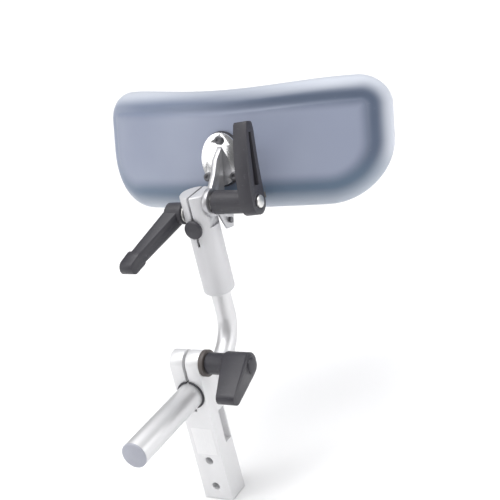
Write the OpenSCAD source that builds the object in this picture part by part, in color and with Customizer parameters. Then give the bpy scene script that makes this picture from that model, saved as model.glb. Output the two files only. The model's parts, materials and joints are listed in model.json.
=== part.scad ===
// Headrest attachment for a chair: a mounting bar that clamps a depth tube, a cranked tube that
// carries a split sleeve, and a wrap-round head pad that tilts on a clamped arm.
// +X is to the right seen from behind, +Y points forward to the head, +Z runs up the mounting bar.

/* [Mounting bar] */
// Width of the bar
bar_w = 32; // [30:0.5:40]
// Depth of the bar, front to back
bar_d = 25; // [22:0.5:32]
// Length of the bar below the depth lever's axis
bar_below = 150; // [130:1:220]
// Width of the clamping slit
bar_slit = 3.5; // [1.5:0.5:5]
// Distance from the depth lever's axis down to the depth tube's axis
bar_bore_drop = 29; // [26:0.5:36]
// Radius of the fixing holes
fix_hole_r = 4.25; // [3:0.25:5]
// Vertical spacing of the fixing holes
fix_pitch = 30; // [24:1:40]
// Distance from the bar's lower end to the lower fixing hole
fix_edge = 15; // [12:1:20]
// Height of the side pocket
pocket_h = 36; // [20:1:36]
// Width of the side pocket
pocket_w = 10; // [6:0.5:11]
// Depth of the side pocket
pocket_deep = 7; // [3:0.5:9]

/* [Depth tube] */
// Outer diameter of the depth tube
depth_dia = 25.5; // [22:0.5:26]
// Wall of the depth tube
depth_wall = 1.5; // [1:0.25:2]
// Length of the depth tube behind the bar
depth_rear = 102; // [90:1:150]
// Length of the depth tube in front of the bar
depth_front = 16; // [14:1:24]
// Wall of the bush in the bar's bore
bush_wall = 1; // [0.8:0.1:1]

/* [Cranked tube] */
// Outer diameter of the cranked tube
crank_dia = 20; // [16:0.5:20]
// Wall of the cranked tube
crank_wall = 2; // [1.5:0.25:3]
// Radius of the bend on the tube's axis
crank_bend = 43; // [36:1:52]
// Straight stretch between the depth tube's flange and the bend
crank_lead = 4.5; // [3:0.5:20]
// Straight upright stretch above the bend
crank_up = 86; // [80:1:110]
// Length of the cranked tube inside the depth tube
crank_plug = 24; // [18:1:28]

/* [Sleeve] */
// Outer diameter of the sleeve
sleeve_dia = 32; // [30:0.5:38]
// Length of the sleeve
sleeve_len = 106.5; // [98:0.5:130]
// Gap between the bend's end and the sleeve's lower edge
sleeve_gap = 23.5; // [20:0.5:40]
// Width of the sleeve's slit
sleeve_slit = 2.6; // [1.5:0.1:4]
// Length of the slit, from the top
sleeve_slit_len = 51.5; // [46:0.5:60]
// Wall of the sleeve's plastic liner
liner_wall = 2.4; // [1.5:0.1:2.5]
// Distance from the sleeve's top down to the tilt axis
tilt_drop = 11; // [10:0.5:14]
// Distance from the tilt axis down to the height lever's axis
stud_step = 11; // [10:0.5:16]
// Depth of the flat on the sleeve's right side
flat_cut = 3; // [2:0.5:4]
// Length of the flat, from the top
flat_len = 34; // [30:1:40]
// Radius of the round button on the slit
button_r = 9.5; // [6:0.5:10]
// Distance from the sleeve's top down to the button's axis
button_drop = 32; // [30:0.5:38]

/* [Levers] */
// Radius of the clamping studs
stud_r = 4; // [3:0.5:4]
// How far a handle lifts off its toothed insert
lift = 3; // [2:0.5:3.5]
// Length of the tilt lever's insert
tilt_insert = 33.5; // [16:0.5:40]
// Length of the height lever's insert
height_insert = 5; // [4:0.5:16]
// Length of the depth lever's insert
depth_insert = 32; // [16:0.5:36]
// Radius of the tilt lever's hub
tilt_hub_r = 11.7; // [10.5:0.1:13]
// Length of the tilt lever's arm
tilt_arm_len = 76; // [60:1:90]
// Forward lean of the tilt lever's arm
tilt_arm_angle = 19; // [0:1:20]
// Inward lean of the tilt lever's arm
tilt_arm_in = 5; // [0:0.5:8]
// Width of the tilt lever's arm along the stud
tilt_arm_w = 14; // [10:0.5:16]
// Radius of the height lever's hub
height_hub_r = 11; // [10.5:0.1:12]
// Length of the height lever's arm
height_arm_len = 76; // [60:1:90]
// Downward slope of the height lever's arm
height_arm_angle = 25; // [10:1:40]
// Outward splay of the height lever's arm
height_arm_splay = 20; // [10:1:25]
// Radius of the depth lever's hub
depth_hub_r = 10.5; // [10:0.1:12]
// Length of the depth lever's arm
depth_arm_len = 50; // [40:1:60]
// Downward slope of the depth lever's arm
depth_arm_angle = 12; // [0:1:40]

/* [Pad arm] */
// Thickness of the arm plate
arm_t = 5; // [4:0.5:6]
// Forward lean of the pad as it is set
pad_lean = 18; // [14:1:20]
// Distance from the tilt axis forward to the disc's rear face, square to the pad
disc_fwd = 21; // [20:0.5:30]
// Distance from the tilt axis up to the disc's centre, along the pad
disc_up = 40; // [38:0.5:48]
// Half width of the disc
disc_rx = 21.5; // [20:0.5:25]
// Half height of the disc
disc_rz = 26; // [24:0.5:28]
// Thickness of the disc
disc_t = 4; // [3:0.5:5]

/* [Pad] */
// Width of the pad over its ends
pad_w = 342; // [260:1:360]
// Height of the pad
pad_h = 123; // [110:1:150]
// How far the pad's top edge dips in the middle
pad_dip = 6; // [0:0.5:10]
// Thickness of the foam
pad_t = 42; // [34:1:60]
// Radius of the pad's curved back
pad_bend_r = 280; // [240:1:360]
// Sideways shift of the pad's middle from the disc's
pad_shift = -9; // [-12:0.5:4]
// Height of the pad's middle above the disc's middle
pad_rise = 11.5; // [0:0.5:14]
// Radius of the pad's upper corners
pad_top_r = 30; // [15:1:40]
// Radius of the pad's lower corners
pad_low_r = 62; // [30:1:64]

/* [Hidden] */
$fn = 64;
// Gap between pieces on different bodies, where they aren't a fit
gap = 0.3;
// Radial clearance of a running fit, and of a piece that is pressed in
run = 0.05;
snug = 0.02;
eps = 0.5;

bar_r = bar_d / 2;
tube_z = -bar_bore_drop;
depth_r = depth_dia / 2;
depth_y0 = -bar_d / 2 - depth_rear;
depth_y1 = bar_d / 2 + depth_front;
bush_in = depth_r + run;
bush_out = bush_in + bush_wall;
// How far the slit runs on below the tube's bore, and the metal between it and the pocket
slit_relief = 5.2;
pocket_web = 6.5;
bar_slit_z = tube_z - bush_out - slit_relief;
bar_z0 = -bar_below;
fix_z0 = bar_z0 + fix_edge;
label_h = 30;
label_w = 23;
label_drop = 7;
label_t = 0.4;
pocket_z0 = bar_slit_z - pocket_web - pocket_h;
label_z0 = pocket_z0 - label_drop;

flange_t = 1.5;
crank_r = crank_dia / 2;
// The cranked tube's end is turned down where the depth tube is too narrow to take it
reducer_wall = 1.2;
spigot_r = min(crank_r, depth_r - depth_wall - reducer_wall);
bend_y = depth_y1 + flange_t + crank_lead;
up_y = bend_y + crank_bend;
bend_z = tube_z + crank_bend;
crank_top = bend_z + crank_up;

sleeve_r = sleeve_dia / 2;
sleeve_z0 = bend_z + sleeve_gap;
sleeve_z1 = sleeve_z0 + sleeve_len;
liner_in = crank_r + run;
liner_out = liner_in + liner_wall;
slit_z0 = sleeve_z1 - sleeve_slit_len;
tilt_z = sleeve_z1 - tilt_drop;
height_z = tilt_z - stud_step;
// The liner and the tube end this far below the height stud
stud_clear = 4;
liner_top = height_z - stud_r - stud_clear;
flat_x = sleeve_r - flat_cut;
button_z = sleeve_z1 - button_drop;
button_stem_r = 4;
left_face = -sleeve_r + 1;

// Stack of pieces along the tilt stud
arm_x0 = flat_x + gap;
arm_x1 = arm_x0 + arm_t;
washer_t = 1.5;
washer_r = 9;
tilt_base = arm_x1 + gap + washer_t;
// Stack along the height stud
height_base = -left_face + gap + washer_t;
// Stack along the depth stud
collar_t = 4.8;
collar_r = 13;
depth_base = bar_w / 2 + gap + collar_t;

// Toothed insert, screw and spring, the same in each lever
insert_r = 7;
tooth_len = 2.6;
socket_gap = 0.12;
shoulder_t = 2.5;
screw_r = 2.5;
head_r = 4.6;
head_t = 2.5;
spring_r = 3.9;
spring_wire = 0.35;
spring_turns = 4;
spring_len = 6.6;
pocket_r = 5.2;
tilt_cap_r = pocket_r + 1;
tilt_cap_t = 2.4;
height_button_r = height_hub_r - 2.4;
depth_cap_r = 8;
// Height of the screw's head and of the hub's end above the lever's base
function head_z(ins) = ins + gap + shoulder_t + spring_len;
function hub_len(ins) = head_z(ins) + head_t + lift;

disc_gap_y = disc_fwd + disc_t;
backing_t = 1.5;
pad_back = disc_gap_y + backing_t;
plate_t = 3;
plate_deep = 5;
plate_w = 84;
plate_h = 78;
disc_mid_x = (arm_x0 + arm_x1) / 2;
pad_mid_x = disc_mid_x + pad_shift;
pad_mid_z = disc_up + pad_rise;
// The three screws of the disc: one above its middle and two below it
screw_up = 18.5;
screw_side = 15;
screw_down = 17;
screw_spots = [[0, screw_up], [-screw_side, -screw_down], [screw_side, -screw_down]];
disc_screw_r = 2.5;
disc_head_r = 4.2;
insert_nut_r = 4.5;
insert_nut_len = 12;
insert_nut_floor = 2;
// Length of the disc's screws under their heads, which ends short of the inserts' floors
disc_screw_len = pad_back - disc_fwd + insert_nut_len - insert_nut_floor;
// The arm's round boss on the stud, and the lobe below it that holds the stop screw
arm_boss_r = 14;
lobe_fwd = 36;
lobe_deep = 28;
stop_screw = [lobe_fwd - 4, -lobe_deep + 8];

// Moves a piece from the depth lever's axis to the part's frame, whose origin is the middle of
// the two fixing holes on the bar's front face
module placed() { translate([0, -bar_d / 2, bar_below - fix_edge - fix_pitch / 2]) children(); }

// A cylinder along +X, starting at x
module along_x(x, len, r) {
  translate([x, 0, 0]) rotate([0, 90, 0]) cylinder(h = len, r = r);
}

// A cylinder along +Y, starting at y
module along_y(y, len, r) {
  translate([0, y, 0]) rotate([-90, 0, 0]) cylinder(h = len, r = r);
}

// The stud axes, and the pad's frame with y square to the pad and z up along it
module at_tilt() { translate([0, up_y, tilt_z]) children(); }
module at_height() { translate([0, up_y, height_z]) children(); }
module at_pad() { at_tilt() rotate([-pad_lean, 0, 0]) children(); }

module mounting_bar() {
  color("silver") placed() difference() {
    union() {
      translate([-bar_w / 2, -bar_d / 2, bar_z0]) cube([bar_w, bar_d, bar_below]);
      along_x(-bar_w / 2, bar_w, bar_r);
    }
    // Clamping slit, from the top past the bore
    translate([-bar_slit / 2, -bar_d, bar_slit_z]) cube([bar_slit, bar_d * 2, bar_r - bar_slit_z + eps]);
    // Bore for the bush
    translate([0, 0, tube_z]) along_y(-bar_d, bar_d * 2, bush_out + snug);
    // Bore for the depth lever's stud
    along_x(-bar_w, bar_w * 2, stud_r + run);
    // Fixing holes to the chair
    for (i = [0, 1]) translate([0, 0, fix_z0 + i * fix_pitch]) along_y(-bar_d, bar_d * 2, fix_hole_r);
    // Side pocket
    translate([bar_w / 2 - pocket_deep, 1, pocket_z0]) cube([pocket_deep + eps, pocket_w, pocket_h]);
    // Shallow seat for the label
    translate([-label_w / 2, -bar_d / 2 - eps, label_z0]) cube([label_w, eps + label_t, label_h]);
  }
}

module blank_label() {
  color("white") placed() translate([-label_w / 2 + snug, -bar_d / 2, label_z0 + snug])
    cube([label_w - 2 * snug, label_t, label_h - 2 * snug]);
}

module depth_bush() {
  color("black") placed() translate([0, 0, tube_z]) difference() {
    union() {
      along_y(-bar_d / 2 - 1, bar_d + 2, bush_out);
      along_y(-bar_d / 2 - 1, 1 - snug, bush_out + 0.9);
    }
    along_y(-bar_d, bar_d * 2, bush_in);
    translate([-bar_slit / 2, -bar_d, 0]) cube([bar_slit, bar_d * 2, bush_out * 2]);
  }
}

module depth_tube() {
  color("gainsboro") placed() translate([0, 0, tube_z]) difference() {
    along_y(depth_y0, depth_y1 - depth_y0, depth_r);
    along_y(depth_y0 - eps, depth_y1 - depth_y0 + 2 * eps, depth_r - depth_wall);
  }
}

module depth_tube_end_cap() {
  color("lightslategray") placed() translate([0, depth_y0, tube_z]) rotate([90, 0, 0]) rotate_extrude()
    polygon([[0, -9], [depth_r - depth_wall - snug, -9], [depth_r - depth_wall - snug, 0], [depth_r, 0],
      [depth_r, 1.2], [depth_r - 0.5, 1.9], [depth_r - 1.2, 2.2], [0, 2.2]]);
}

module tube_reducer() {
  color("silver") placed() translate([0, 0, tube_z]) difference() {
    union() {
      along_y(depth_y1 - crank_plug, crank_plug, depth_r - depth_wall - snug);
      along_y(depth_y1, flange_t, depth_r);
    }
    along_y(depth_y1 - crank_plug - eps, crank_plug + flange_t + 2 * eps, spigot_r + snug);
  }
}

module crank_section(r) { translate([crank_bend, 0]) circle(r = r); }

module cranked_tube() {
  color("gainsboro") placed() difference() {
    crank_solid(crank_r, spigot_r, 0);
    crank_solid(crank_r - crank_wall, spigot_r - crank_wall, eps);
  }
}

// The tube's path filled to radius r, or end_r inside the depth tube, and longer by more at both ends
module crank_solid(r, end_r, more) {
  shoulder_y = depth_y1 + flange_t + run;
  translate([0, 0, tube_z]) {
    along_y(depth_y1 - crank_plug - more, crank_plug + more + flange_t + 2 * run, end_r);
    along_y(shoulder_y, bend_y - shoulder_y, r);
  }
  translate([0, bend_y, bend_z]) rotate([90, 0, 90]) rotate_extrude(angle = 90, start = 270)
    crank_section(r);
  translate([0, up_y, bend_z]) cylinder(h = crank_up + more, r = r);
}

module tube_top_plug() {
  color("dimgray") placed() translate([0, up_y, crank_top]) {
    cylinder(h = 1.5, r = crank_r - 0.3);
    translate([0, 0, -10]) cylinder(h = 10, r = crank_r - crank_wall - snug);
  }
}

module upright_sleeve() {
  color("gainsboro") placed() difference() {
    translate([0, up_y, 0]) rotate_extrude() polygon(concat(
      [[0, sleeve_z0]],
      [for (a = [0 : 15 : 90]) [sleeve_r - 4 + 4 * sin(a), sleeve_z0 + 4 - 4 * cos(a)]],
      [[sleeve_r, sleeve_z1 - 1], [sleeve_r - 1, sleeve_z1], [0, sleeve_z1]]));
    // Bore for the liner
    translate([0, up_y, sleeve_z0 - eps]) cylinder(h = liner_top - sleeve_z0 + eps, r = liner_out + snug);
    // Slit from the top
    translate([-sleeve_slit / 2, up_y - sleeve_r - eps, slit_z0])
      cube([sleeve_slit, sleeve_dia + 2 * eps, sleeve_slit_len + eps]);
    // Flat under the pad arm
    translate([flat_x, up_y - sleeve_r, sleeve_z1 - flat_len]) cube([sleeve_r, sleeve_dia, flat_len + eps]);
    // Seat for the height lever's washer
    at_height() along_x(-sleeve_r * 2, sleeve_r * 2 + left_face, washer_r + 1);
    // Stud bores
    at_height() along_x(-sleeve_r * 2, sleeve_r * 4, stud_r + run);
    at_tilt() along_x(0, sleeve_r * 2, stud_r + run);
    // Hole for the button's stem
    translate([0, 0, button_z])
      along_y(up_y - sleeve_r - eps, sleeve_r - liner_out + eps, button_stem_r + snug);
  }
}

module sleeve_liner() {
  color("dimgray") placed() difference() {
    translate([0, up_y, sleeve_z0 + 1]) cylinder(h = liner_top - sleeve_z0 - 1 - snug, r = liner_out);
    translate([0, up_y, sleeve_z0]) cylinder(h = liner_top - sleeve_z0 + eps, r = liner_in);
    translate([-sleeve_slit / 2, up_y - sleeve_r, slit_z0]) cube([sleeve_slit, sleeve_dia, sleeve_slit_len]);
  }
}

module slit_button() {
  color("#2a2a2c") placed() translate([0, up_y - sleeve_r, button_z]) rotate([90, 0, 0]) {
    rotate_extrude() polygon([[0, -2.5], [button_stem_r, -2.5], [button_stem_r, 0.1], [button_r - 1.5, 0.1],
      [button_r, 1.2], [button_r, 3.6], [button_r - 1.2, 4.8], [0, 5.4]]);
  }
}

// The arm plate lies across the stud: x forward, y up along the pad
module pad_arm() {
  color("gainsboro") placed() at_pad() translate([arm_x0, 0, 0]) rotate([90, 0, 90]) difference() {
    union() {
      cylinder(h = arm_t, r = arm_boss_r);
      // Tapered gusset that carries the disc
      linear_extrude(arm_t) polygon([[-5, 9], [5, 26], [10, disc_up], [disc_fwd, disc_up + 12],
        [disc_fwd, 4], [9, -6]]);
      // Lower lobe with the stop screw
      linear_extrude(arm_t) polygon([[9, -6], [20, -10], [lobe_fwd, stop_screw[1] + 7],
        [lobe_fwd - 2, stop_screw[1] - 7], [lobe_fwd - 14, -lobe_deep], [6, -10]]);
    }
    translate([0, 0, -eps]) cylinder(h = arm_t + 2 * eps, r = stud_r + run);
    // Relief on the inner face of the lobe, which swings past the round of the sleeve
    translate([0, 0, -eps]) linear_extrude(sleeve_r + gap - arm_x0 + eps) difference() {
      translate([-arm_boss_r, -lobe_deep * 2]) square([lobe_fwd * 2, lobe_deep * 2 - 4]);
      circle(r = arm_boss_r + gap);
    }
  }
}

// Places children on the pad's screw circle, with z pointing back along the screw
module on_screws(y) {
  for (s = screw_spots) translate([disc_mid_x + s[0], y, disc_up + s[1]]) rotate([90, 0, 0]) children();
}

module disc_shape(y, t, grow) {
  translate([disc_mid_x, y + t, disc_up]) rotate([90, 0, 0]) linear_extrude(t)
    polygon([for (a = [0 : 7.5 : 352.5]) [(disc_rx + grow) * cos(a), (disc_rz + grow) * sin(a)]]);
}

module mounting_disc() {
  color("whitesmoke") placed() at_pad() difference() {
    disc_shape(disc_fwd, disc_t, 0);
    on_screws(disc_gap_y + eps) cylinder(h = disc_t + 2 * eps, r = disc_screw_r + snug);
  }
}

module disc_backing() {
  color("black") placed() at_pad() difference() {
    disc_shape(disc_gap_y, backing_t, 1.2);
    on_screws(pad_back + eps) cylinder(h = backing_t + 2 * eps, r = disc_screw_r + snug);
  }
}

module disc_screws() {
  color("silver") placed() at_pad() on_screws(disc_fwd) difference() {
    union() {
      rotate_extrude()
        polygon([[0, 0], [disc_head_r, 0], [disc_head_r - 0.5, 1.4], [disc_head_r - 2, 2.3], [0, 2.6]]);
      translate([0, 0, -disc_screw_len]) cylinder(h = disc_screw_len + run, r = disc_screw_r);
    }
    translate([0, 0, 1]) cylinder(h = 3, r = 1.7, $fn = 6);
  }
}

module pad_core_plate() {
  color("dimgray") placed() at_pad() difference() {
    translate([disc_mid_x - plate_w / 2, pad_back + plate_deep, disc_up - plate_h / 2])
      cube([plate_w, plate_t, plate_h]);
    on_screws(pad_back + plate_deep + plate_t + eps) cylinder(h = plate_t + 2 * eps, r = insert_nut_r + snug);
  }
}

module pad_threaded_inserts() {
  color("goldenrod") placed() at_pad() on_screws(pad_back + insert_nut_len + 1) difference() {
    cylinder(h = insert_nut_len, r = insert_nut_r);
    translate([0, 0, insert_nut_floor]) cylinder(h = insert_nut_len, r = disc_screw_r + snug);
  }
}

// The pad's outline seen from behind, wider at the top, from four corner arcs
function arc(cx, cz, r, a0, a1) = [for (a = [a0 : 7.5 : a1]) [cx + r * cos(a), cz + r * sin(a)]];
module pad_outline() {
  w = pad_w / 2;
  h = pad_h / 2;
  top = w - pad_top_r;
  polygon(concat(
    arc(w - pad_top_r, h - pad_top_r, pad_top_r, 0, 90),
    [for (k = [0.9 : -0.1 : -0.9]) [top * k, h - pad_dip * (1 - k * k) ^ 2]],
    arc(-w + pad_top_r, h - pad_top_r, pad_top_r, 90, 180),
    arc(-w + pad_low_r, -h + pad_low_r, pad_low_r, 180, 270),
    arc(w - pad_low_r, -h + pad_low_r, pad_low_r, 270, 360)));
}

module headrest_pad() {
  r_edge = 12;
  half = asin(pad_w / 2 / pad_bend_r);
  color("lightsteelblue") placed() at_pad() difference() {
    translate([pad_mid_x, pad_back + pad_bend_r, pad_mid_z]) intersection() {
      rotate_extrude(angle = 2 * half, start = 270 - half) polygon([
        [pad_bend_r - pad_t, -pad_h / 2 + r_edge], [pad_bend_r - pad_t + r_edge, -pad_h / 2],
        [pad_bend_r - r_edge, -pad_h / 2], [pad_bend_r, -pad_h / 2 + r_edge],
        [pad_bend_r, pad_h / 2 - r_edge],
        [pad_bend_r - r_edge, pad_h / 2], [pad_bend_r - pad_t + r_edge, pad_h / 2],
        [pad_bend_r - pad_t, pad_h / 2 - r_edge]]);
      rotate([90, 0, 0]) translate([0, 0, -eps]) linear_extrude(pad_bend_r + 2 * eps) pad_outline();
    }
    // Pocket for the core plate and the threaded inserts
    translate([disc_mid_x - plate_w / 2 - snug, pad_back + plate_deep - snug, disc_up - plate_h / 2 - snug])
      cube([plate_w + 2 * snug, plate_t + 2 * snug, plate_h + 2 * snug]);
    on_screws(pad_back + insert_nut_len + 1 + snug) cylinder(h = insert_nut_len + 2, r = insert_nut_r + snug);
  }
}

module arm_stop_screw() {
  color("silver") placed() at_pad() translate([0, stop_screw[0] - 4, stop_screw[1]]) along_x(arm_x1, 2.4, 3);
}

// Pieces that the three clamping levers share, in the lever's frame with z outwards
module lever_insert(ins, stud_len) {
  difference() {
    union() {
      cylinder(h = ins - tooth_len, r = insert_r);
      translate([0, 0, ins - tooth_len]) cylinder(h = tooth_len, r = insert_r, $fn = 12);
      translate([0, 0, -stud_len]) cylinder(h = stud_len + eps, r = stud_r);
    }
    translate([0, 0, ins - 6]) cylinder(h = 7, r = screw_r + snug);
  }
}

module lever_screw(ins) {
  difference() {
    union() {
      translate([0, 0, ins - 5.5]) cylinder(h = head_z(ins) - ins + 6, r = screw_r);
      translate([0, 0, head_z(ins)]) cylinder(h = head_t, r = head_r);
    }
    translate([0, 0, head_z(ins) + head_t - 1.5]) cylinder(h = 3, r = 2, $fn = 6);
  }
}

module lever_spring(ins) {
  z0 = ins + gap + shoulder_t + spring_wire;
  pitch = (spring_len - 2 * spring_wire) / spring_turns;
  for (i = [0 : spring_turns]) translate([0, 0, z0 + i * pitch]) rotate_extrude()
    translate([spring_r, 0]) circle(r = spring_wire, $fn = 16);
  for (i = [0 : spring_turns - 1]) rotate([0, 0, i * 90]) translate([spring_r, 0, z0 + i * pitch])
    cylinder(h = pitch, r = spring_wire * 0.8, $fn = 16);
}

// Removes the toothed socket, the screw's hole and the spring's pocket from a handle's hub; the
// teeth are shorter than the lift, so a lifted handle turns freely on the round of its insert
module hub_bores(ins) {
  translate([0, 0, -eps]) cylinder(h = ins - tooth_len + 2 * run + eps, r = insert_r + run);
  translate([0, 0, ins - tooth_len]) cylinder(h = tooth_len + gap, r = insert_r + socket_gap, $fn = 12);
  cylinder(h = hub_len(ins), r = screw_r + gap);
  translate([0, 0, ins + gap + shoulder_t]) cylinder(h = hub_len(ins), r = pocket_r);
}

module hub_body(r, cone, len) {
  rotate_extrude() polygon([[0, gap], [r - 0.8, gap], [r, 1.1], [r - cone, len - 1.5],
    [r - cone - 1.5, len], [0, len]]);
}

// Turns a lever's frame to the right or the left of the part
module right_side(base) { translate([base, 0, 0]) rotate([0, 90, 0]) children(); }
module left_side(base) { translate([-base, 0, 0]) rotate([0, -90, 0]) children(); }

// Tilt lever, on the right of the sleeve
module tilt_washer() {
  color("dimgray") placed() at_tilt() right_side(arm_x1 + gap) washer(washer_r, washer_t);
}
module washer(r, t) {
  difference() {
    cylinder(h = t, r = r);
    translate([0, 0, -eps]) cylinder(h = t + 2 * eps, r = stud_r + snug);
  }
}
module tilt_lever_insert() {
  color("dimgray") placed() at_tilt() right_side(tilt_base)
    lever_insert(tilt_insert, tilt_base - sleeve_slit / 2 - 0.5);
}
module tilt_lever_screw() {
  color("silver") placed() at_tilt() right_side(tilt_base) lever_screw(tilt_insert);
}
module tilt_lever_spring() {
  color("silver") placed() at_tilt() right_side(tilt_base) lever_spring(tilt_insert);
}

module tilt_lever_handle() {
  end = hub_len(tilt_insert);
  color("#35353b") placed() at_tilt() right_side(tilt_base) difference() {
    union() {
      hub_body(tilt_hub_r, 0.7, end);
      tilt_arm_place(end) translate([0, 0, -tilt_arm_w]) tilt_arm();
    }
    hub_bores(tilt_insert);
    // Seat for the cap
    translate([0, 0, end]) cylinder(h = tilt_hub_r, r = tilt_cap_r + gap);
    // Long recess in the arm's outer face
    tilt_arm_place(end) translate([tilt_hub_r + 4, 0, -4])
      linear_extrude(5) polygon([[0, -4], [tilt_arm_len - 26, -1], [tilt_arm_len - 26, 3], [0, 5]]);
  }
}
// Children are placed along the arm, with z = 0 at its outer face
module tilt_arm_place(end) {
  rotate([0, 0, 180 - tilt_arm_angle]) translate([0, 0, end]) rotate([0, tilt_arm_in, 0]) children();
}
// The arm's side outline bows forward between the hub and the narrow tip
module tilt_arm() {
  tip = tilt_arm_len - 2;
  linear_extrude(tilt_arm_w) polygon(concat(
    [for (a = [90 : 15 : 270]) [(tilt_hub_r + 0.8) * cos(a), (tilt_hub_r + 0.8) * sin(a)]],
    [for (k = [0.1 : 0.1 : 0.9]) [tip * k, -tilt_hub_r - 0.8 + (tilt_hub_r - 6) * k + 1.5 * sin(180 * k)]],
    [[tip, -5.5], [tilt_arm_len, -3.5], [tilt_arm_len, 3.5], [tip, 5.5]],
    [for (k = [0.9 : -0.1 : 0.1]) [tip * k, tilt_hub_r + 0.8 - (tilt_hub_r - 5) * k + 4 * sin(180 * k)]]));
}
module tilt_lever_cap() {
  color("silver") placed() at_tilt() right_side(tilt_base) translate([0, 0, hub_len(tilt_insert)])
    cylinder(h = tilt_cap_t, r = tilt_cap_r);
}

// Height lever, on the left of the sleeve
module height_washer() {
  color("dimgray") placed() at_height() left_side(-left_face + gap) washer(washer_r, washer_t);
}
module height_lever_insert() {
  color("dimgray") placed() at_height() left_side(height_base)
    lever_insert(height_insert, height_base + flat_x - 0.5);
}
module height_lever_screw() {
  color("silver") placed() at_height() left_side(height_base)
    lever_screw(height_insert);
}
module height_lever_spring() {
  color("silver") placed() at_height() left_side(height_base)
    lever_spring(height_insert);
}
module height_lever_handle() {
  end = hub_len(height_insert);
  color("#35353b") placed() at_height() left_side(height_base) difference() {
    union() {
      hub_body(height_hub_r, 0.3, end);
      rotate([0, 0, 270 - height_arm_angle]) height_arm(end);
    }
    hub_bores(height_insert);
    // Seat for the round button
    translate([0, 0, end]) cylinder(h = height_hub_r, r = height_button_r + gap);
  }
}
// The arm leaves the hub's outer end and splays away from the sleeve to a thicker end block
module height_arm(end) {
  slope = tan(height_arm_splay);
  knee = height_arm_len - 14;
  hull() {
    translate([4, 0, end - 15]) cylinder(h = 14, r = 8.5, $fn = 32);
    translate([knee, 0, end - 13 + knee * slope]) cylinder(h = 10, r = 6.5, $fn = 32);
  }
  hull() {
    translate([knee - 4, 0, end - 16 + knee * slope]) cylinder(h = 14, r = 7.5, $fn = 32);
    translate([knee + 6, 0, end - 13 + knee * slope]) cylinder(h = 14, r = 7, $fn = 32);
  }
}
module height_lever_button() {
  color("#2a2a2c") placed() at_height() left_side(height_base) translate([0, 0, hub_len(height_insert)])
    rotate_extrude() polygon([[0, 0], [height_button_r, 0], [height_button_r - 1, 1.6], [0, 2.4]]);
}

// Depth lever, on the right of the bar
module depth_collar() {
  color("#3b3636") placed() right_side(bar_w / 2 + gap) washer(collar_r, collar_t);
}
module depth_lever_insert() {
  color("dimgray") placed() right_side(depth_base) lever_insert(depth_insert, depth_base + bar_w / 2 - 1);
}
module depth_lever_screw() { color("silver") placed() right_side(depth_base) lever_screw(depth_insert); }
module depth_lever_spring() { color("silver") placed() right_side(depth_base) lever_spring(depth_insert); }
module depth_lever_handle() {
  end = hub_len(depth_insert);
  color("#35353b") placed() right_side(depth_base) difference() {
    union() {
      hub_body(depth_hub_r, 0, end);
      rotate([0, 0, -90 + depth_arm_angle]) depth_arm(end);
    }
    hub_bores(depth_insert);
    // Seat for the cap
    translate([0, 0, end]) cylinder(h = depth_hub_r, r = depth_cap_r + gap);
  }
}
// The arm's root wraps the hub, and its tip stands further out along the stud
module depth_arm(end) {
  depth_tip_r = 6.5;
  depth_splay = 12;
  hull() {
    translate([0, 0, end - 26]) cylinder(h = 24, r = depth_hub_r + 2, $fn = 32);
    translate([depth_arm_len - depth_tip_r, 0, end - 26 + depth_splay])
      cylinder(h = 19, r = depth_tip_r, $fn = 32);
  }
}
module depth_lever_cap() {
  color("#2a2a2c") placed() right_side(depth_base) translate([0, 0, hub_len(depth_insert)]) rotate_extrude()
    polygon([[0, 0], [depth_cap_r, 0], [depth_cap_r - 0.6, 1.4], [depth_cap_r - 2, 2.2], [0, 2.6]]);
}

mounting_bar();
blank_label();
depth_bush();
depth_tube();
depth_tube_end_cap();
tube_reducer();
cranked_tube();
tube_top_plug();
upright_sleeve();
sleeve_liner();
slit_button();
pad_arm();
mounting_disc();
disc_backing();
disc_screws();
pad_core_plate();
pad_threaded_inserts();
headrest_pad();
arm_stop_screw();
tilt_washer();
tilt_lever_insert();
tilt_lever_screw();
tilt_lever_spring();
tilt_lever_handle();
tilt_lever_cap();
height_washer();
height_lever_insert();
height_lever_screw();
height_lever_spring();
height_lever_handle();
height_lever_button();
depth_collar();
depth_lever_insert();
depth_lever_screw();
depth_lever_spring();
depth_lever_handle();
depth_lever_cap();
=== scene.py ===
# %% [markdown]
# # A tilting headrest for the back of a chair
# The real object clamps to a chair's back. An upright aluminium bar holds a tube that slides to and fro,
# a bent tube and a split sleeve carry the height, and a wrap-round foam pad tilts on a clamped arm. The
# packed model already has every piece at its true size and place, so this lesson loads it first and adds
# only the looks.

# %% Load the frame
import bpy, bmesh, json, math
import numpy as np
from mathutils import Matrix, Quaternion, Vector

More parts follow.
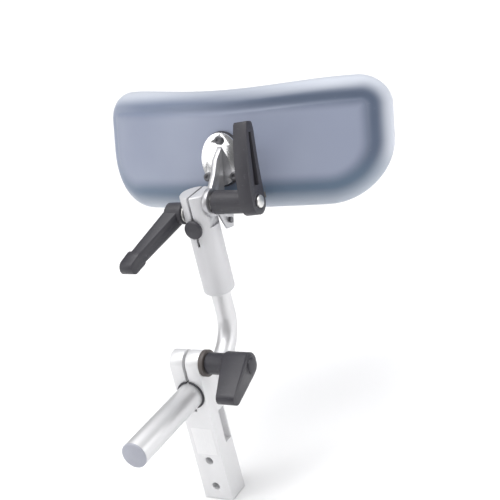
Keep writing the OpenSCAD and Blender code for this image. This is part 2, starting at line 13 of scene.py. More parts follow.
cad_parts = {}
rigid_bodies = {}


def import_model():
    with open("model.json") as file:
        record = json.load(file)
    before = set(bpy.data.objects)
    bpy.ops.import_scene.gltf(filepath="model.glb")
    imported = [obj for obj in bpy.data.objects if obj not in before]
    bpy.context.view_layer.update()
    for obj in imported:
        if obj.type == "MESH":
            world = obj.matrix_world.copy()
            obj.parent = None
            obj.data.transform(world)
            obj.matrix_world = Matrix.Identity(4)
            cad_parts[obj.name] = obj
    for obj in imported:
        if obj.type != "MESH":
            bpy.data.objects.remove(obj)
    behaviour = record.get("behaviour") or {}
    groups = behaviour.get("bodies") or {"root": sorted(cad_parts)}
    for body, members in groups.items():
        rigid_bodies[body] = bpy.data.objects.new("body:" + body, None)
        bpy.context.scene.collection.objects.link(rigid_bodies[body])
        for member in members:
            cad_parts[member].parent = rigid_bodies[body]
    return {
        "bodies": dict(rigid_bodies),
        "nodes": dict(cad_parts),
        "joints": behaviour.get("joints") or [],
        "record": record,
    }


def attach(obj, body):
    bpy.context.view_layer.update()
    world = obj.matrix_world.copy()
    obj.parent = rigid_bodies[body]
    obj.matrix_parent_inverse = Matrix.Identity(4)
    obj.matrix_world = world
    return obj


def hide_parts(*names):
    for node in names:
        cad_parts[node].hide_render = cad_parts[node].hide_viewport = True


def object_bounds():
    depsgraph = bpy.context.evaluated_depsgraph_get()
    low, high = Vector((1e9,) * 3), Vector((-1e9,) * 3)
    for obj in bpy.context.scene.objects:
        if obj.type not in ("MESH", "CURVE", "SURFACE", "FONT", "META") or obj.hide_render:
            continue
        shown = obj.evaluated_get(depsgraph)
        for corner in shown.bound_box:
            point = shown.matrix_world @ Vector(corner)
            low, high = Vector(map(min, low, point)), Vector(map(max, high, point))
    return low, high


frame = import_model()
nodes, bodies = frame["nodes"], frame["bodies"]
joints = {j["name"]: j for j in frame["joints"]}
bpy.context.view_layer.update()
MM = 0.001

# %% [markdown]
# ## The camera
# The headrest is seen from behind and from the right, a little from above. The chair's back leans, so the
# camera is rolled and the bar stays upright in the model. A position could be typed in, but an azimuth,
# an elevation and a roll about one aim point are easier to read and to change.

# %% Place the camera
SENSOR_WIDTH = 36.0
NEAREST, FURTHEST = 0.02, 100.0
AIM_FROM_HINGE = Vector((0.0490, -0.0049, -0.0484))


def into_scene(name, data):
    """A new object in the scene that shows this mesh, light or camera."""
    obj = bpy.data.objects.new(name, data)
    bpy.context.scene.collection.objects.link(obj)
    return obj


def look_from(aim, azimuth, elevation, roll, distance, lens):
    """A camera that looks at aim from behind the headrest; angles are in degrees."""
    az, el = math.radians(azimuth), math.radians(elevation)
    back = Vector((math.sin(az) * math.cos(el), -math.cos(az) * math.cos(el), math.sin(el)))
    data = bpy.data.cameras.new("camera")
    data.lens, data.sensor_width, data.clip_start, data.clip_end = lens, SENSOR_WIDTH, NEAREST, FURTHEST
    camera = into_scene("camera", data)
    camera.location = aim + back * distance
    camera.rotation_mode = "QUATERNION"
    tilt = Quaternion((0, 0, 1), math.radians(roll))
    camera.rotation_quaternion = (-back).to_track_quat("-Z", "Y") @ tilt
    return camera


hinge = Vector(joints["pad_tilt"]["pos_m"])
aim = hinge + AIM_FROM_HINGE
camera = look_from(aim, azimuth=33, elevation=22, roll=-13.5, distance=1.1424, lens=85.7)
bpy.context.scene.camera = camera
bpy.context.scene.view_settings.view_transform = "Standard"
print("camera at", tuple(round(v, 3) for v in camera.location))

# %% [markdown]
# ## Node trees in plain expressions
# A finish is made of masks: a grain here, a smudge there, a tint near an edge. Wiring each Math node by
# hand is slow to read, so one small class wraps a socket and lets Python's own operators add the nodes.
# Every other node comes from the one method `node`, which sets a node's choices first and then its
# sockets. The same method builds the materials, the room's light and, further down, the tree that makes
# the screws.

# %% Wires and node trees
class Wire:
    """An output socket that can be used in an expression."""

    def __init__(self, sheet, socket):
        self.sheet, self.socket = sheet, socket

    def maths(self, operation, first, second):
        return self.sheet.node("ShaderNodeMath", {"operation": operation}, {0: first, 1: second})

    def __add__(self, other): return self.maths("ADD", self, other)
    def __sub__(self, other): return self.maths("SUBTRACT", self, other)
    def __rsub__(self, other): return self.maths("SUBTRACT", other, self)
    def __mul__(self, other): return self.maths("MULTIPLY", self, other)
    __radd__, __rmul__ = __add__, __mul__

    def ramp(self, low, high):
        """0 below low, 1 above high and smooth between them; low may be the larger one."""
        ends = {"Value": self, "From Min": low, "From Max": high, "To Min": 0.0, "To Max": 1.0}
        return self.sheet.node("ShaderNodeMapRange", {"interpolation_type": "SMOOTHSTEP"}, ends)


def set_stops(ramp, stops):
    """Fills a colour ramp from pairs of a place and a colour."""
    while len(ramp.elements) < len(stops):
        ramp.elements.new(0.5)
    for stop, (place, colour) in zip(ramp.elements, stops):
        stop.position, stop.color = place, colour


class Sheet:
    """A node tree of any kind, with one method that adds every node."""

    def __init__(self, tree):
        self.tree = tree

    def node(self, kind, settings=None, sockets=None, out=0):
        """One node, its choices set first and its sockets filled or linked next; gives the output out."""
        n = self.tree.nodes.new(kind)
        for key, value in (settings or {}).items():
            if key == "stops":
                set_stops(n.color_ramp, value)
            else:
                setattr(n, key, value)
        for key, value in (sockets or {}).items():
            if isinstance(value, Wire):
                self.tree.links.new(value.socket, n.inputs[key])
            else:
                n.inputs[key].default_value = value
        return Wire(self, n.outputs[out]) if len(n.outputs) else None


print("a wire knows:", [name for name in vars(Wire) if name.startswith("__r")])

# %% [markdown]
# ## The parts of a finish
# Most finishes share a few steps: a noise or a cell pattern in the piece's own coordinates, a blend of
# two colours, a fine relief, and the shader at the end. They could be written out in each material, but
# short methods keep every material down to the lines that make it different.

# %% The finish kit
NOISE_ROUGHNESS = 0.55
GAMMA_TOE, GAMMA_SLOPE = 10, 12.92


class Finish(Sheet):
    """A material, or the world, that is built node by node."""

    def __init__(self, name, owner=None):
        self.owner = owner or bpy.data.materials.new(name)
        self.owner.use_nodes = True
        super().__init__(self.owner.node_tree)
        self.tree.nodes.clear()

    def place(self, scale=(1.0, 1.0, 1.0)):
        """The piece's own coordinates in metres, stretched."""
        here = self.node("ShaderNodeTexCoord", out="Object")
        return self.node("ShaderNodeMapping", {}, {"Vector": here, "Scale": scale})

    def noise(self, scale, detail, at=None):
        return self.node("ShaderNodeTexNoise", {}, {"Vector": at or self.place(), "Scale": float(scale),
                                                     "Detail": float(detail), "Roughness": NOISE_ROUGHNESS})

    def cells(self, scale, feature="F1"):
        return self.node("ShaderNodeTexVoronoi", {"feature": feature},
                         {"Vector": self.place(), "Scale": float(scale)})

    def blend(self, factor, first, second):
        """A colour between two colours."""
        return self.node("ShaderNodeMix", {"data_type": "RGBA", "clamp_factor": True},
                         {0: factor, 6: first, 7: second}, out=2)

    def relief(self, height, depth, under=None):
        """A bump of the given depth in metres, on top of another one."""
        sockets = {"Height": height, "Strength": 1.0, "Distance": depth}
        if under is not None:
            sockets["Normal"] = under
        return self.node("ShaderNodeBump", {}, sockets)

    def surface(self, **sockets):
        """The shader: keys are its socket names with _ for a space."""
        named = {key.replace("_", " "): value for key, value in sockets.items()}
        shader = self.node("ShaderNodeBsdfPrincipled", {}, named)
        self.node("ShaderNodeOutputMaterial", {}, {"Surface": shader})
        return self.owner


def rgb(r, g, b):
    """A colour from its screen values out of 255."""
    lin = [c / 255 / GAMMA_SLOPE if c <= GAMMA_TOE else ((c / 255 + 0.055) / 1.055) ** 2.4 for c in (r, g, b)]
    return (*lin, 1.0)


print("half grey is", round(rgb(128, 128, 128)[0], 3), "in light")

# %% [markdown]
# ## The floor
# A plain pale floor lies just under the lowest piece. A curved studio backdrop would also do, but a flat
# sheet shows the contact shadow under the bar and looks the same from every side.

# %% Lay the floor
FLOOR_HALF = 12.0
FLOOR_GAP = 0.0005
low = Vector(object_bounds()[0])
floor_mesh = bpy.data.meshes.new("floor")
quarters = ((-1, -1), (1, -1), (1, 1), (-1, 1))
floor_corners = [(x * FLOOR_HALF, y * FLOOR_HALF, low.z - FLOOR_GAP) for x, y in quarters]
floor_mesh.from_pydata(floor_corners, [], [(0, 1, 2, 3)])
floor = into_scene("floor", floor_mesh)
paper = Finish("pale_floor")
white = paper.blend(paper.noise(0.8, detail=2), (0.93, 0.93, 0.935, 1), (0.96, 0.96, 0.96, 1))
floor_mesh.materials.append(paper.surface(Base_Color=white, Roughness=0.85, Specular_IOR_Level=0.2))
print("floor at", round(low.z, 4))

# %% [markdown]
# ## The light
# Satin metal and a glossy foam skin only read well when there is something to reflect. So the room is
# bright overhead and greyer near the horizon, a wide sun stands for the ceiling, and two large soft
# panels stand at the sides. A single lamp would leave hard shadows that a studio doesn't have.

# %% Soft light
PANEL_SIZE = 0.8
ROOM_STRENGTH = 0.85
ROOM_GREYS = [(0.0, 0.60), (0.10, 0.30), (0.35, 0.16), (0.60, 0.35), (0.85, 1.1), (1.0, 1.3)]
COOL = 1.01


def soft_panel(name, place, watts):
    """A square area light that faces the aim point."""
    data = bpy.data.lights.new(name, "AREA")
    data.shape, data.size, data.energy = "SQUARE", PANEL_SIZE, watts
    lamp = into_scene(name, data)
    lamp.location = place
    lamp.rotation_mode = "QUATERNION"
    lamp.rotation_quaternion = (aim - place).to_track_quat("-Z", "Y")


sky = bpy.data.lights.new("sky_panel", "SUN")
sky.energy, sky.angle = 2.0, math.radians(50)
into_scene("sky_panel", sky).rotation_euler = (math.radians(12), math.radians(-8), 0)
soft_panel("right_panel", aim + Vector((1.3, 0.2, 0.35)), 5)
soft_panel("left_panel", aim + Vector((-1.1, -0.9, 0.6)), 4)

room = Finish("studio", bpy.data.worlds.new("studio"))
direction = room.node("ShaderNodeTexCoord", out="Generated")
upward = room.node("ShaderNodeSeparateXYZ", {}, {0: direction}, out="Z")
room_stops = [(height, (grey, grey, grey * COOL, 1)) for height, grey in ROOM_GREYS]
bands = room.node("ShaderNodeValToRGB", {"stops": room_stops}, {"Fac": upward})
glow = room.node("ShaderNodeBackground", {}, {"Color": bands, "Strength": ROOM_STRENGTH})
room.node("ShaderNodeOutputWorld", {}, {"Surface": glow})
bpy.context.scene.world = room.owner

# %% [markdown]
# ## The pad's moulded skin
# Integral-skin foam has a fine leathery grain and a soft sheen. Its flat back is lilac grey. Where the rim
# turns over, painted shade makes the skin darker and bluer, most of all on the right and below, and a
# painted highlight makes the outermost edge pale. A painted texture could be wrapped round the pad, but
# colours that follow the distance to the rim can't slip. That distance is the point attribute `rim`, which
# the pad gets further down.

# %% Make the pad's skin
def make_pad_skin():
    # Where the painted rim shade is weaker on the far left, darker on the right and bluer below, and how far
    # in from the rim the painted shade and the painted highlight reach.
    left_fade, sides, underside = (-0.165, -0.085), (-0.15, 0.14), (0.272, 0.246)
    rim_shade_reach, highlight_from_rim = (0.034, 0.0195), (0.018, 0.002)
    f = Finish("pad_skin")
    rim = f.node("ShaderNodeAttribute", {"attribute_name": "rim"}, out=2)
    here = {"Vector": f.place()}
    across = f.node("ShaderNodeSeparateXYZ", {}, here, out="X")
    up = f.node("ShaderNodeSeparateXYZ", {}, here, out="Z")
    right, lower = across.ramp(*sides), up.ramp(*underside)
    # Painted shade: the skin is darkened where the rim turns over, at four tenths strength on the far left.
    painted_rim_shade = rim.ramp(*rim_shade_reach) * (across.ramp(*left_fade) * 0.6 + 0.4)
    mottle = f.noise(38, detail=4)
    cloud = f.noise(9, detail=2).ramp(0.35, 0.7)
    panel = f.blend(cloud, rgb(142, 149, 169), rgb(150, 157, 175))
    # The colour of the painted shade: darker towards the right and bluer below.
    painted_shade_colour = f.blend(right, rgb(122, 133, 155), rgb(80, 92, 113))
    painted_shade_colour = f.blend(lower * 0.8, painted_shade_colour, rgb(84, 104, 124))
    colour = f.blend(painted_rim_shade, panel, painted_shade_colour)
    # Painted highlight: the outermost edge of the rim is made pale, half as strongly at the bottom.
    paler = rim.ramp(*highlight_from_rim) * (1 - lower * 0.5)
    colour = f.blend(paler, colour, rgb(206, 211, 221))
    scuffs = f.noise(160, detail=6, at=f.place(scale=(1, 1, 3))).ramp(0.62, 0.75)
    colour = f.blend(scuffs * 0.10 + mottle * 0.10, colour, rgb(150, 158, 174))
    grain = f.cells(1500, "SMOOTH_F1")
    pores = f.noise(2600, detail=2)
    bump = f.relief(grain * 0.7 + pores * 0.3, 0.00006)
    bump = f.relief(f.noise(26, detail=2), 0.0008, under=bump)
    return f.surface(Base_Color=colour, Roughness=0.40 + mottle * 0.14 + scuffs * 0.08, Normal=bump,
                     Specular_IOR_Level=0.5, Coat_Weight=0.28, Coat_Roughness=0.22, Coat_IOR=1.45)


pad_skin = make_pad_skin()
print("pad skin:", len(pad_skin.node_tree.nodes), "nodes")

# %% [markdown]
# ## Nylon and board
# The levers and buttons are glass-filled nylon from a spark-eroded mould: a matt black with a tiny
# stipple, rubbed paler where hands and tables touch it. The collars, the grey cap and the board inside
# the pad differ only in colour, stipple and roughness, so one function makes them all.

# %% Make the nylons
def make_nylon(name, body, worn, stipple, rough):
    """Stipple is the number of pits in a metre."""
    f = Finish(name)
    cloud = f.noise(55, detail=3)
    rub = f.noise(230, detail=5, at=f.place(scale=(1, 3, 1))).ramp(0.60, 0.78)
    colour = f.blend(cloud, body, tuple(c * 1.35 for c in body[:3]) + (1,))
    colour = f.blend(rub * 0.35, colour, worn)
    pits = f.cells(stipple)
    bump = f.relief(pits + f.noise(stipple * 1.7, detail=2) * 0.6, 0.00007)
    return f.surface(Base_Color=colour, Roughness=rough + cloud * 0.14 - rub * 0.06, Normal=bump,
                     Specular_IOR_Level=0.5, Coat_Weight=0.12, Coat_Roughness=0.3)


nylons = {
    "black_nylon": dict(body=rgb(46, 45, 51), worn=rgb(104, 102, 108), stipple=1900, rough=0.40),
    "dark_nylon": dict(body=rgb(74, 68, 66), worn=rgb(120, 112, 108), stipple=1500, rough=0.46),
    "cap_grey": dict(body=rgb(156, 158, 168), worn=rgb(186, 188, 196), stipple=1700, rough=0.42),
    "core_board": dict(body=rgb(90, 88, 84), worn=rgb(120, 116, 110), stipple=900, rough=0.6),
}
finishes = {name: make_nylon(name, **look) for name, look in nylons.items()}
finishes["pad_skin"] = pad_skin
print("nylons:", sorted(nylons))

# %% [markdown]
# ## Metals
# Drawn tubes show fine lines along their length, castings are duller and cloudier, zinc plate has a
# crystalline bloom, and turned steel is nearly a mirror. All of these are one recipe with other numbers.
# The lines come from a noise that is stretched along the metal's drawing axis.

# %% Make the metals
def make_metal(name, body, tint, rough, metal, stretch, lines_per_m=420, line_depth=0.000015, spots=0.0):
    """Drawing lines run along the axis whose stretch is small; spots is how strong the crystals show."""
    f = Finish(name)
    lines = f.noise(lines_per_m, detail=4, at=f.place(scale=stretch))
    haze = f.noise(24, detail=3)
    bloom = f.cells(420).ramp(0.2, 0.8)
    colour = f.blend(haze * 0.6 + bloom * spots, body, tint)
    grit = f.noise(1800, detail=2)
    bump = f.relief(lines + grit * 0.4, line_depth)
    return f.surface(Base_Color=colour, Metallic=metal, Roughness=rough + lines * 0.10 + haze * 0.08 - 0.08,
                     Normal=bump, Specular_IOR_Level=0.5, Coat_Weight=0.05, Coat_Roughness=0.2)


drawn = dict(body=(0.68, 0.68, 0.69, 1), tint=(0.76, 0.76, 0.77, 1), rough=0.40)
metals = {
    "bar_aluminium": dict(body=(0.76, 0.76, 0.77, 1), tint=(0.83, 0.83, 0.84, 1), rough=0.42, metal=0.35,
                          stretch=(1, 1, 0.05)),
    "tube_aluminium": dict(drawn, metal=0.7, stretch=(1, 1, 0.04)),
    "tube_aluminium_level": dict(drawn, metal=0.6, stretch=(1, 0.04, 1)),
    "sleeve_cast": dict(body=(0.60, 0.60, 0.62, 1), tint=(0.70, 0.70, 0.71, 1), rough=0.44, metal=0.30,
                        stretch=(1, 1, 0.3)),
    "arm_cast": dict(body=(0.44, 0.44, 0.46, 1), tint=(0.58, 0.58, 0.59, 1), rough=0.34, metal=0.75,
                     stretch=(1, 0.3, 1), lines_per_m=300, line_depth=0.00003),
    "bright_steel": dict(body=(0.74, 0.74, 0.75, 1), tint=(0.84, 0.84, 0.85, 1), rough=0.16, metal=1.0,
                         stretch=(1, 1, 1), lines_per_m=260),
    "zinc_steel": dict(body=(0.60, 0.60, 0.61, 1), tint=(0.74, 0.73, 0.70, 1), rough=0.34, metal=1.0,
                       stretch=(1, 1, 1), lines_per_m=300, line_depth=0.00003, spots=0.6),
    "black_steel": dict(body=(0.10, 0.10, 0.11, 1), tint=(0.20, 0.20, 0.21, 1), rough=0.34, metal=0.6,
                        stretch=(1, 1, 1), lines_per_m=300),
    "insert_brass": dict(body=(0.72, 0.55, 0.28, 1), tint=(0.80, 0.63, 0.36, 1), rough=0.28, metal=1.0,
                         stretch=(1, 0.1, 1)),
}
finishes.update({name: make_metal(name, **look) for name, look in metals.items()})
print("metals:", sorted(metals))

# %% [markdown]
# ## The blank label
# The bar carries a printed label on the real object. Here it stays blank: a white film with the faintest
# fibre, a little glossier than the metal round it.

# %% Make the label's film, then give every packed node its finish
def make_label():
    f = Finish("label_white")
    fibre = f.noise(700, detail=4, at=f.place(scale=(1, 1, 0.3)))
    white = f.blend(fibre, rgb(238, 238, 240), rgb(250, 250, 250))
    return f.surface(Base_Color=white, Roughness=0.42 + fibre * 0.1, Normal=f.relief(fibre, 0.00002),
                     Coat_Weight=0.2, Coat_Roughness=0.15)


finishes["label_white"] = make_label()
slot_of = {s["node"]: s["material_slot"] for s in frame["record"]["subparts"]}
finish_of = {node: finishes[slot] for node, slot in slot_of.items()}
own_finish = {"depth_tube": "tube_aluminium_level", "upright_sleeve": "sleeve_cast", "pad_arm": "arm_cast",
              "disc_screws": "black_steel", "arm_stop_screw": "black_steel", "tilt_lever_cap": "zinc_steel"}
finish_of.update({node: finishes[name] for node, name in own_finish.items()})
for name, obj in nodes.items():
    for slot in obj.material_slots:
        slot.material = finish_of[name]
print("dressed", len(nodes), "nodes in", len(finishes), "finishes")

# %% [markdown]
# ## Rounded edges
# The packed solids have knife edges, and a real casting or moulding never does. The packed mesh itself is
# left alone: a copy is merged, its flat faces are joined, a Bevel modifier rounds every edge sharper than
# a set angle, and the result stands for the packed node. Modelling each piece again would risk a
# different size.

# %% Copy, merge and settle
MERGE_WITHIN = 2e-6
body_of = {n: body for body, members in frame["record"]["behaviour"]["bodies"].items() for n in members}


def merged(node):
    """A copy of a packed node in which triangles that touch share their points."""
    bm = bmesh.new()
    bm.from_mesh(nodes[node].data)
    bmesh.ops.remove_doubles(bm, verts=bm.verts, dist=MERGE_WITHIN)
    return bm


def settle(obj):
    """The object's mesh with its modifiers baked in, and the modifiers gone."""
    graph = bpy.context.evaluated_depsgraph_get()
    mesh = bpy.data.meshes.new_from_object(obj.evaluated_get(graph))
    obj.modifiers.clear()
    obj.data = mesh


def shade(obj, crisp_above=32):
    """Smooth faces, with edges left crisp above the angle in degrees."""
    obj.data.shade_smooth()
    obj.data.set_sharp_from_angle(angle=math.radians(crisp_above))


print("bodies that carry pieces:", sorted(set(body_of.values())))

# %% [markdown]
# ## Which edges are round, and by how much
# Moulded nylon has the softest edges, the castings less, and a sawn and tumbled bar or tube only a fine
# break. The widths are typed in here, in millimetres, because a rounding is a finish and not one of the
# part's sizes.

# %% Round the pieces that show their edges
BEVEL_STEPS = 2
ROUND_ABOVE = math.radians(28)
FLAT_WITHIN = math.radians(0.4)


def rounded(node, width):
    """A rounded piece that stands for a packed node; the width is in millimetres."""
    bm = merged(node)
    bmesh.ops.dissolve_limit(bm, angle_limit=FLAT_WITHIN, verts=bm.verts, edges=bm.edges)
    mesh = bpy.data.meshes.new(node + "_rounded")
    bm.to_mesh(mesh)
    bm.free()
    obj = into_scene(node + "_rounded", mesh)
    edges = obj.modifiers.new("round", "BEVEL")
    edges.width, edges.segments, edges.limit_method = width * MM, BEVEL_STEPS, "ANGLE"
    edges.angle_limit = ROUND_ABOVE
    settle(obj)
    obj.data.materials.clear()
    obj.data.materials.append(finish_of[node])
    shade(obj)
    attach(obj, body_of[node])
    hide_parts(node)
    return obj


edge_round = {"tilt_lever_handle": 1.1, "height_lever_handle": 0.8, "depth_lever_handle": 0.9,
              "mounting_bar": 0.6, "upright_sleeve": 0.35, "pad_arm": 0.5, "mounting_disc": 0.7,
              "slit_button": 0.5,
              "depth_tube_end_cap": 0.25, "depth_collar": 0.4, "tilt_lever_cap": 1.0,
              "height_lever_button": 0.4, "depth_lever_cap": 0.4, "depth_tube": 0.25, "arm_stop_screw": 0.4}
for node, width in edge_round.items():
    piece = rounded(node, width)
    print(piece.name, len(piece.data.polygons), "faces")

# %% [markdown]
# ## The moulded head pad
# The pad is one block of foam with its own skin, curved round the head. Its rim turns over in a wide soft
# roll, and a shallow crease marks where the flat back begins. A box could be bent and bevelled, but a
# roll this wide then folds at the corners. Here a grid is laid over the block in flat coordinates, each
# point is slid on to a rounded shape given by a distance formula, and the whole sheet is then wrapped
# round the bend.

# %% The pad's own frame and sizes, from the packed solid
LEAN = math.radians(18)
bend, thick, roll = 0.280, 0.042, 0.0195
top_r, low_r, dip = 0.030, 0.062, 0.006
pad_frame = Matrix.Translation(hinge) @ Matrix.Rotation(-LEAN, 4, "X")
flat_points = np.array([pad_frame.inverted() @ v.co for v in nodes["headrest_pad"].data.vertices])
pad_low, pad_high = flat_points.min(0), flat_points.max(0)
width, height = pad_high[0] - pad_low[0], pad_high[2] - pad_low[2]
middle = (pad_low + pad_high) / 2
back = pad_low[1]
print("pad", round(width, 4), "wide,", round(height, 4), "high")

# %% [markdown]
# ## The pad's shape as a distance
# Two formulas say how deep a point lies: first inside the flat outline, whose lower corners are far
# rounder than the upper ones, then inside the whole pad. Where both the rim and a face are nearer than
# the roll's radius, the distance is measured to a circle, and that circle is the roll. The crease and the
# slight crown are added to the faces as small offsets, so they blend into the roll without a seam.

# %% How deep a point lies
CREASE_DEPTH, CREASE_START, CREASE_END = 0.0011, (0.012, 0.021), (0.0215, 0.0255)
CREASE_HIGH_UP = (-0.04, 0.02)
CROWN, CROWN_REACH = 0.0035, 0.055


def inside_outline(x, z):
    """Distance in from the outline, whose upper and lower corners have different radii."""
    r = np.where(z > 0, top_r, low_r)
    qx, qz = np.abs(x) - width / 2 + r, np.abs(z) - height / 2 + r
    corner = np.hypot(np.maximum(qx, 0), np.maximum(qz, 0))
    return r - corner - np.minimum(np.maximum(qx, qz), 0)


def soft_step(low, high, v):
    """0 up to low, 1 from high and smooth between them."""
    t = np.clip((v - low) / (high - low), 0, 1)
    return t * t * (3 - 2 * t)


def inside_pad(x, d, z):
    """Depth under the pad's skin: positive inside. d runs from the back to the face."""
    e = inside_outline(x, z)
    crease = CREASE_DEPTH * soft_step(*CREASE_START, e) * (1 - soft_step(*CREASE_END, e))
    crease = crease * (0.35 + 0.65 * soft_step(*CREASE_HIGH_UP, z))
    crown = CROWN * (1 - soft_step(0.0, CROWN_REACH, e))
    depths = []
    for face in (d - crease, thick - crown - d):
        off_rim, off_face = np.maximum(roll - e, 0), np.maximum(roll - face, 0)
        in_roll = (off_rim > 0) & (off_face > 0)
        depths.append(np.where(in_roll, roll - np.hypot(off_rim, off_face), np.minimum(e, face)))
    return np.minimum(*depths)


print("depth at the middle:", float(inside_pad(0.0, thick / 2, 0.0)))

# %% [markdown]
# ## A grid over the block
# The grid is a closed box of quads. Its lines stand close together near the rim, where the surface turns
# fast, and wider apart on the flat. An even grid as fine as the rim would have far more faces.

# %% Lay the grid
RIM_STEP, FLAT_STEP, RIM_WIDTH = 0.0014, 0.0048, 0.030
LAYERS = 25


def marks(length):
    """Places along a side, from minus half the length to half of it, closer together near both ends."""
    edge = np.arange(0, RIM_WIDTH, RIM_STEP)
    inner = np.linspace(RIM_WIDTH, length - RIM_WIDTH, int((length - 2 * RIM_WIDTH) / FLAT_STEP) + 1)
    return np.concatenate([edge, inner, length - edge[::-1]]) - length / 2


def box_shell(xs, ds, zs):
    """A closed box of quads through the given marks."""
    index, points, faces = {}, [], []

    def at(i, j, k):
        if (i, j, k) not in index:
            index[i, j, k] = len(points)
            points.append((xs[i], ds[j], zs[k]))
        return index[i, j, k]

    nx, nd, nz = len(xs) - 1, len(ds) - 1, len(zs) - 1
    for i in range(nx):
        for k in range(nz):
            faces.append((at(i, 0, k), at(i + 1, 0, k), at(i + 1, 0, k + 1), at(i, 0, k + 1)))
            faces.append((at(i, nd, k), at(i, nd, k + 1), at(i + 1, nd, k + 1), at(i + 1, nd, k)))
        for j in range(nd):
            faces.append((at(i, j, 0), at(i, j + 1, 0), at(i + 1, j + 1, 0), at(i + 1, j, 0)))
            faces.append((at(i, j, nz), at(i + 1, j, nz), at(i + 1, j + 1, nz), at(i, j + 1, nz)))
    for k in range(nz):
        for j in range(nd):
            faces.append((at(0, j, k), at(0, j, k + 1), at(0, j + 1, k + 1), at(0, j + 1, k)))
            faces.append((at(nx, j, k), at(nx, j + 1, k), at(nx, j + 1, k + 1), at(nx, j, k + 1)))
    return np.array(points, float), faces


grid, quads = box_shell(marks(width), np.linspace(0, thick, LAYERS), marks(height))
print("grid points", len(grid))

# %% [markdown]
# ## Slide the grid on to the skin
# The box's corners stick out past the rounded outline, so each ray from the middle is first shortened to
# where it meets the outline, found by halving a span over and over. Then every point walks along the
# slope of the depth formula until its depth is nothing, which takes about a dozen steps.

# %% Pull the corners in, then slide every point
HALVINGS, WALKS = 30, 12
NUDGE = 1e-5
LEAST_SLOPE = 0.25
ring = np.maximum(np.abs(grid[:, 0] / (width / 2)), np.abs(grid[:, 2] / (height / 2)))
to_box = np.maximum(ring, 1e-9)
box_x, box_z = grid[:, 0] / to_box, grid[:, 2] / to_box
short_end, long_end = np.full(len(grid), 0.3), np.ones(len(grid))
for _ in range(HALVINGS):
    reach = (short_end + long_end) / 2
    out = inside_outline(box_x * reach, box_z * reach) < 0
    long_end, short_end = np.where(out, reach, long_end), np.where(out, short_end, reach)
pull = 1 + (long_end - 1) * ring ** 3
x, d, z = grid[:, 0] * pull, grid[:, 1].copy(), grid[:, 2] * pull
for _ in range(WALKS):
    depth = inside_pad(x, d, z)
    slope_x = (inside_pad(x + NUDGE, d, z) - depth) / NUDGE
    slope_d = (inside_pad(x, d + NUDGE, z) - depth) / NUDGE
    slope_z = (inside_pad(x, d, z + NUDGE) - depth) / NUDGE
    step = depth / np.maximum(slope_x ** 2 + slope_d ** 2 + slope_z ** 2, LEAST_SLOPE)
    x, d, z = x - step * slope_x, d - step * slope_d, z - step * slope_z
print("largest miss", float(np.abs(inside_pad(x, d, z)).max()))

# %% [markdown]
# ## Wrap the pad round the head
# The flat shape dips a little in the middle of its top edge, then each point is turned about the bend's
# axis by an angle that depends on how far across it lies. The distance to the rim is stored on the
# points, for the skin's painted rim shade and painted highlight. The front counts as further from the
# rim, so it stays in the panel's plain colour.

# %% Wrap it round the bend and make the mesh
FRONT_FROM, FRONT_EXTRA = 0.6, 0.02
across = np.clip(x / (width / 2 - top_r), -1, 1)
z = z - dip * (1 - across ** 2) ** 2 * soft_step(-height / 4, height / 2, z)
angle = np.arcsin(np.clip(x / bend, -1, 1))
radius = bend - d
ahead = back + bend - radius * np.cos(angle)
wrapped = np.stack([middle[0] + radius * np.sin(angle), ahead, middle[2] + z], 1)
to_part = np.array(pad_frame)
places = wrapped @ to_part[:3, :3].T + to_part[:3, 3]
pad_mesh = bpy.data.meshes.new("head_pad")
pad_mesh.from_pydata([tuple(p) for p in places], [], quads)
rim = pad_mesh.attributes.new("rim", "FLOAT", "POINT")
from_front = np.where(d > thick * FRONT_FROM, FRONT_EXTRA, 0.0)
rim.data.foreach_set("value", (inside_outline(x, z) + from_front).astype(np.float32))
bm = bmesh.new()
bm.from_mesh(pad_mesh)
bmesh.ops.recalc_face_normals(bm, faces=bm.faces)
bm.to_mesh(pad_mesh)
bm.free()
print("pad faces", len(pad_mesh.polygons))

# %% [markdown]
# ## Hand the pad over
# The piece rides on the packed pad's body and takes its place. It is told to the frame as padded, so that
# the later checks treat it as soft goods.

# %% Dress the pad and tie it to its body
pad = into_scene("head_pad", pad_mesh)
pad_mesh.materials.append(finishes["pad_skin"])
pad_mesh.shade_smooth()
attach(pad, body_of["headrest_pad"])
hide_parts("headrest_pad")
print("pad rides on", body_of["headrest_pad"])

# %% [markdown]
# ## The screws of the pad's plate
# Three screws with a hexagon socket hold the plate. They are alike, so one Geometry Nodes tree makes one
# screw from named sizes and puts it on each point of a small mesh. The points come from the packed
# screws, found as separate islands, so they can't drift from the holes.

# %% Find the middle of each packed screw head
HEAD_RADIUS, HEAD_HEIGHT, SOCKET_RADIUS = 0.0042, 0.0026, 0.0019


def islands(node):
    """The packed node's separate pieces, as lists of points."""
    bm = merged(node)
    found, seen = [], set()
    for start in bm.verts:
        if start.index in seen:
            continue
        waiting, group = [start], []
        while waiting:
            point = waiting.pop()
            if point.index in seen:
                continue
            seen.add(point.index)
            group.append(point.co.copy())
            waiting += [edge.other_vert(point) for edge in point.link_edges]
        found.append(group)
    bm.free()
    return found


outward = pad_frame.to_3x3() @ Vector((0, -1, 0))
seats = []
for group in islands("disc_screws"):
    inner = [pad_frame.inverted() @ p for p in group]
    mid_x = (min(p.x for p in inner) + max(p.x for p in inner)) / 2
    mid_z = (min(p.z for p in inner) + max(p.z for p in inner)) / 2
    head = min(p.y for p in inner)
    seats.append(pad_frame @ Vector((mid_x, head + HEAD_HEIGHT, mid_z)))
print("screws at", [tuple(round(c, 4) for c in s) for s in seats])

# %% [markdown]
# ## A tree that makes a socket screw
# The head is a short cylinder with a six-sided one cut out of its top. The tree then stands it on every
# point, turned along the plate's axis, makes the copies real and paints them. Copies left as instances
# would be lost when the model is saved for other programs.

# %% A tree that makes a socket screw and repeats it
HEAD_SIDES, SOCKET_SIDES = 40, 6
HEAD_LIFT, SOCKET_LIFT = 0.5, 1.05


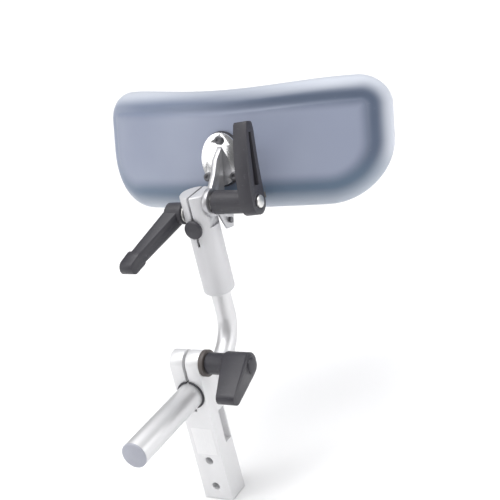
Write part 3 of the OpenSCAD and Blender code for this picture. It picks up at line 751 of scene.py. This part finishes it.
def tree_with(name, sizes):
    """A geometry tree with a mesh in, a mesh out and named size inputs, and those inputs' identifiers."""
    tree = bpy.data.node_groups.new(name, "GeometryNodeTree")
    tree.interface.new_socket("Geometry", in_out="INPUT", socket_type="NodeSocketGeometry")
    ids = {}
    for label, (kind, value) in sizes.items():
        socket = tree.interface.new_socket(label, in_out="INPUT", socket_type=kind)
        socket.default_value = value
        ids[label] = socket.identifier
    tree.interface.new_socket("Geometry", in_out="OUTPUT", socket_type="NodeSocketGeometry")
    return Sheet(tree), ids


screw_sizes = {"Head radius": ("NodeSocketFloat", HEAD_RADIUS),
               "Head height": ("NodeSocketFloat", HEAD_HEIGHT),
               "Socket radius": ("NodeSocketFloat", SOCKET_RADIUS),
               "Axis": ("NodeSocketVector", tuple(outward))}
screw_tree, screw_ids = tree_with("socket_screws", screw_sizes)


def given(label):
    """The tree's input of that name."""
    return screw_tree.node("NodeGroupInput", out=label)


def plug(sides, radius, lift):
    """A cylinder as high as the head, its middle lifted by a share of that height."""
    solid = screw_tree.node("GeometryNodeMeshCylinder", {"fill_type": "NGON"},
                            {"Vertices": sides, "Radius": given(radius), "Depth": given("Head height")})
    up = screw_tree.node("ShaderNodeCombineXYZ", {}, {"Z": given("Head height") * lift})
    return screw_tree.node("GeometryNodeTransform", {}, {"Geometry": solid, "Translation": up})


cut = screw_tree.node("GeometryNodeMeshBoolean", {"operation": "DIFFERENCE"},
                      {"Mesh 1": plug(HEAD_SIDES, "Head radius", HEAD_LIFT),
                       "Mesh 2": plug(SOCKET_SIDES, "Socket radius", SOCKET_LIFT)})
facing = screw_tree.node("FunctionNodeAlignRotationToVector", {"axis": "Z"}, {"Vector": given("Axis")})
spread = screw_tree.node("GeometryNodeInstanceOnPoints", {},
                         {"Points": given("Geometry"), "Instance": cut, "Rotation": facing})
real = screw_tree.node("GeometryNodeRealizeInstances", {}, {"Geometry": spread})
black = finishes["black_steel"]
painted = screw_tree.node("GeometryNodeSetMaterial", {}, {"Geometry": real, "Material": black})
screw_tree.node("NodeGroupOutput", {}, {0: painted})
print("screw tree:", len(screw_tree.tree.nodes), "nodes")

# %% [markdown]
# ## Use the tree
# The small mesh of seats gets the tree as a modifier, and a Bevel after it rounds the heads. Both are
# then baked into a plain mesh, which takes the packed screws' place.

# %% Make the screws, round the heads and hand them over
EDGE, EDGE_STEPS, EDGE_ABOVE = 0.0007, 3, math.radians(40)
seat_mesh = bpy.data.meshes.new("plate_screws")
seat_mesh.from_pydata([tuple(s) for s in seats], [], [])
screws = into_scene("plate_screws", seat_mesh)
maker = screws.modifiers.new("screws", "NODES")
maker.node_group = screw_tree.tree
for label, (_, value) in screw_sizes.items():
    maker[screw_ids[label]] = value
soften = screws.modifiers.new("round", "BEVEL")
soften.width, soften.segments, soften.limit_method, soften.angle_limit = EDGE, EDGE_STEPS, "ANGLE", EDGE_ABOVE
settle(screws)
shade(screws)
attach(screws, body_of["disc_screws"])
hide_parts("disc_screws")
print("screw faces", len(screws.data.polygons))

# %% [markdown]
# ## The end

# %% Finish
print("done")
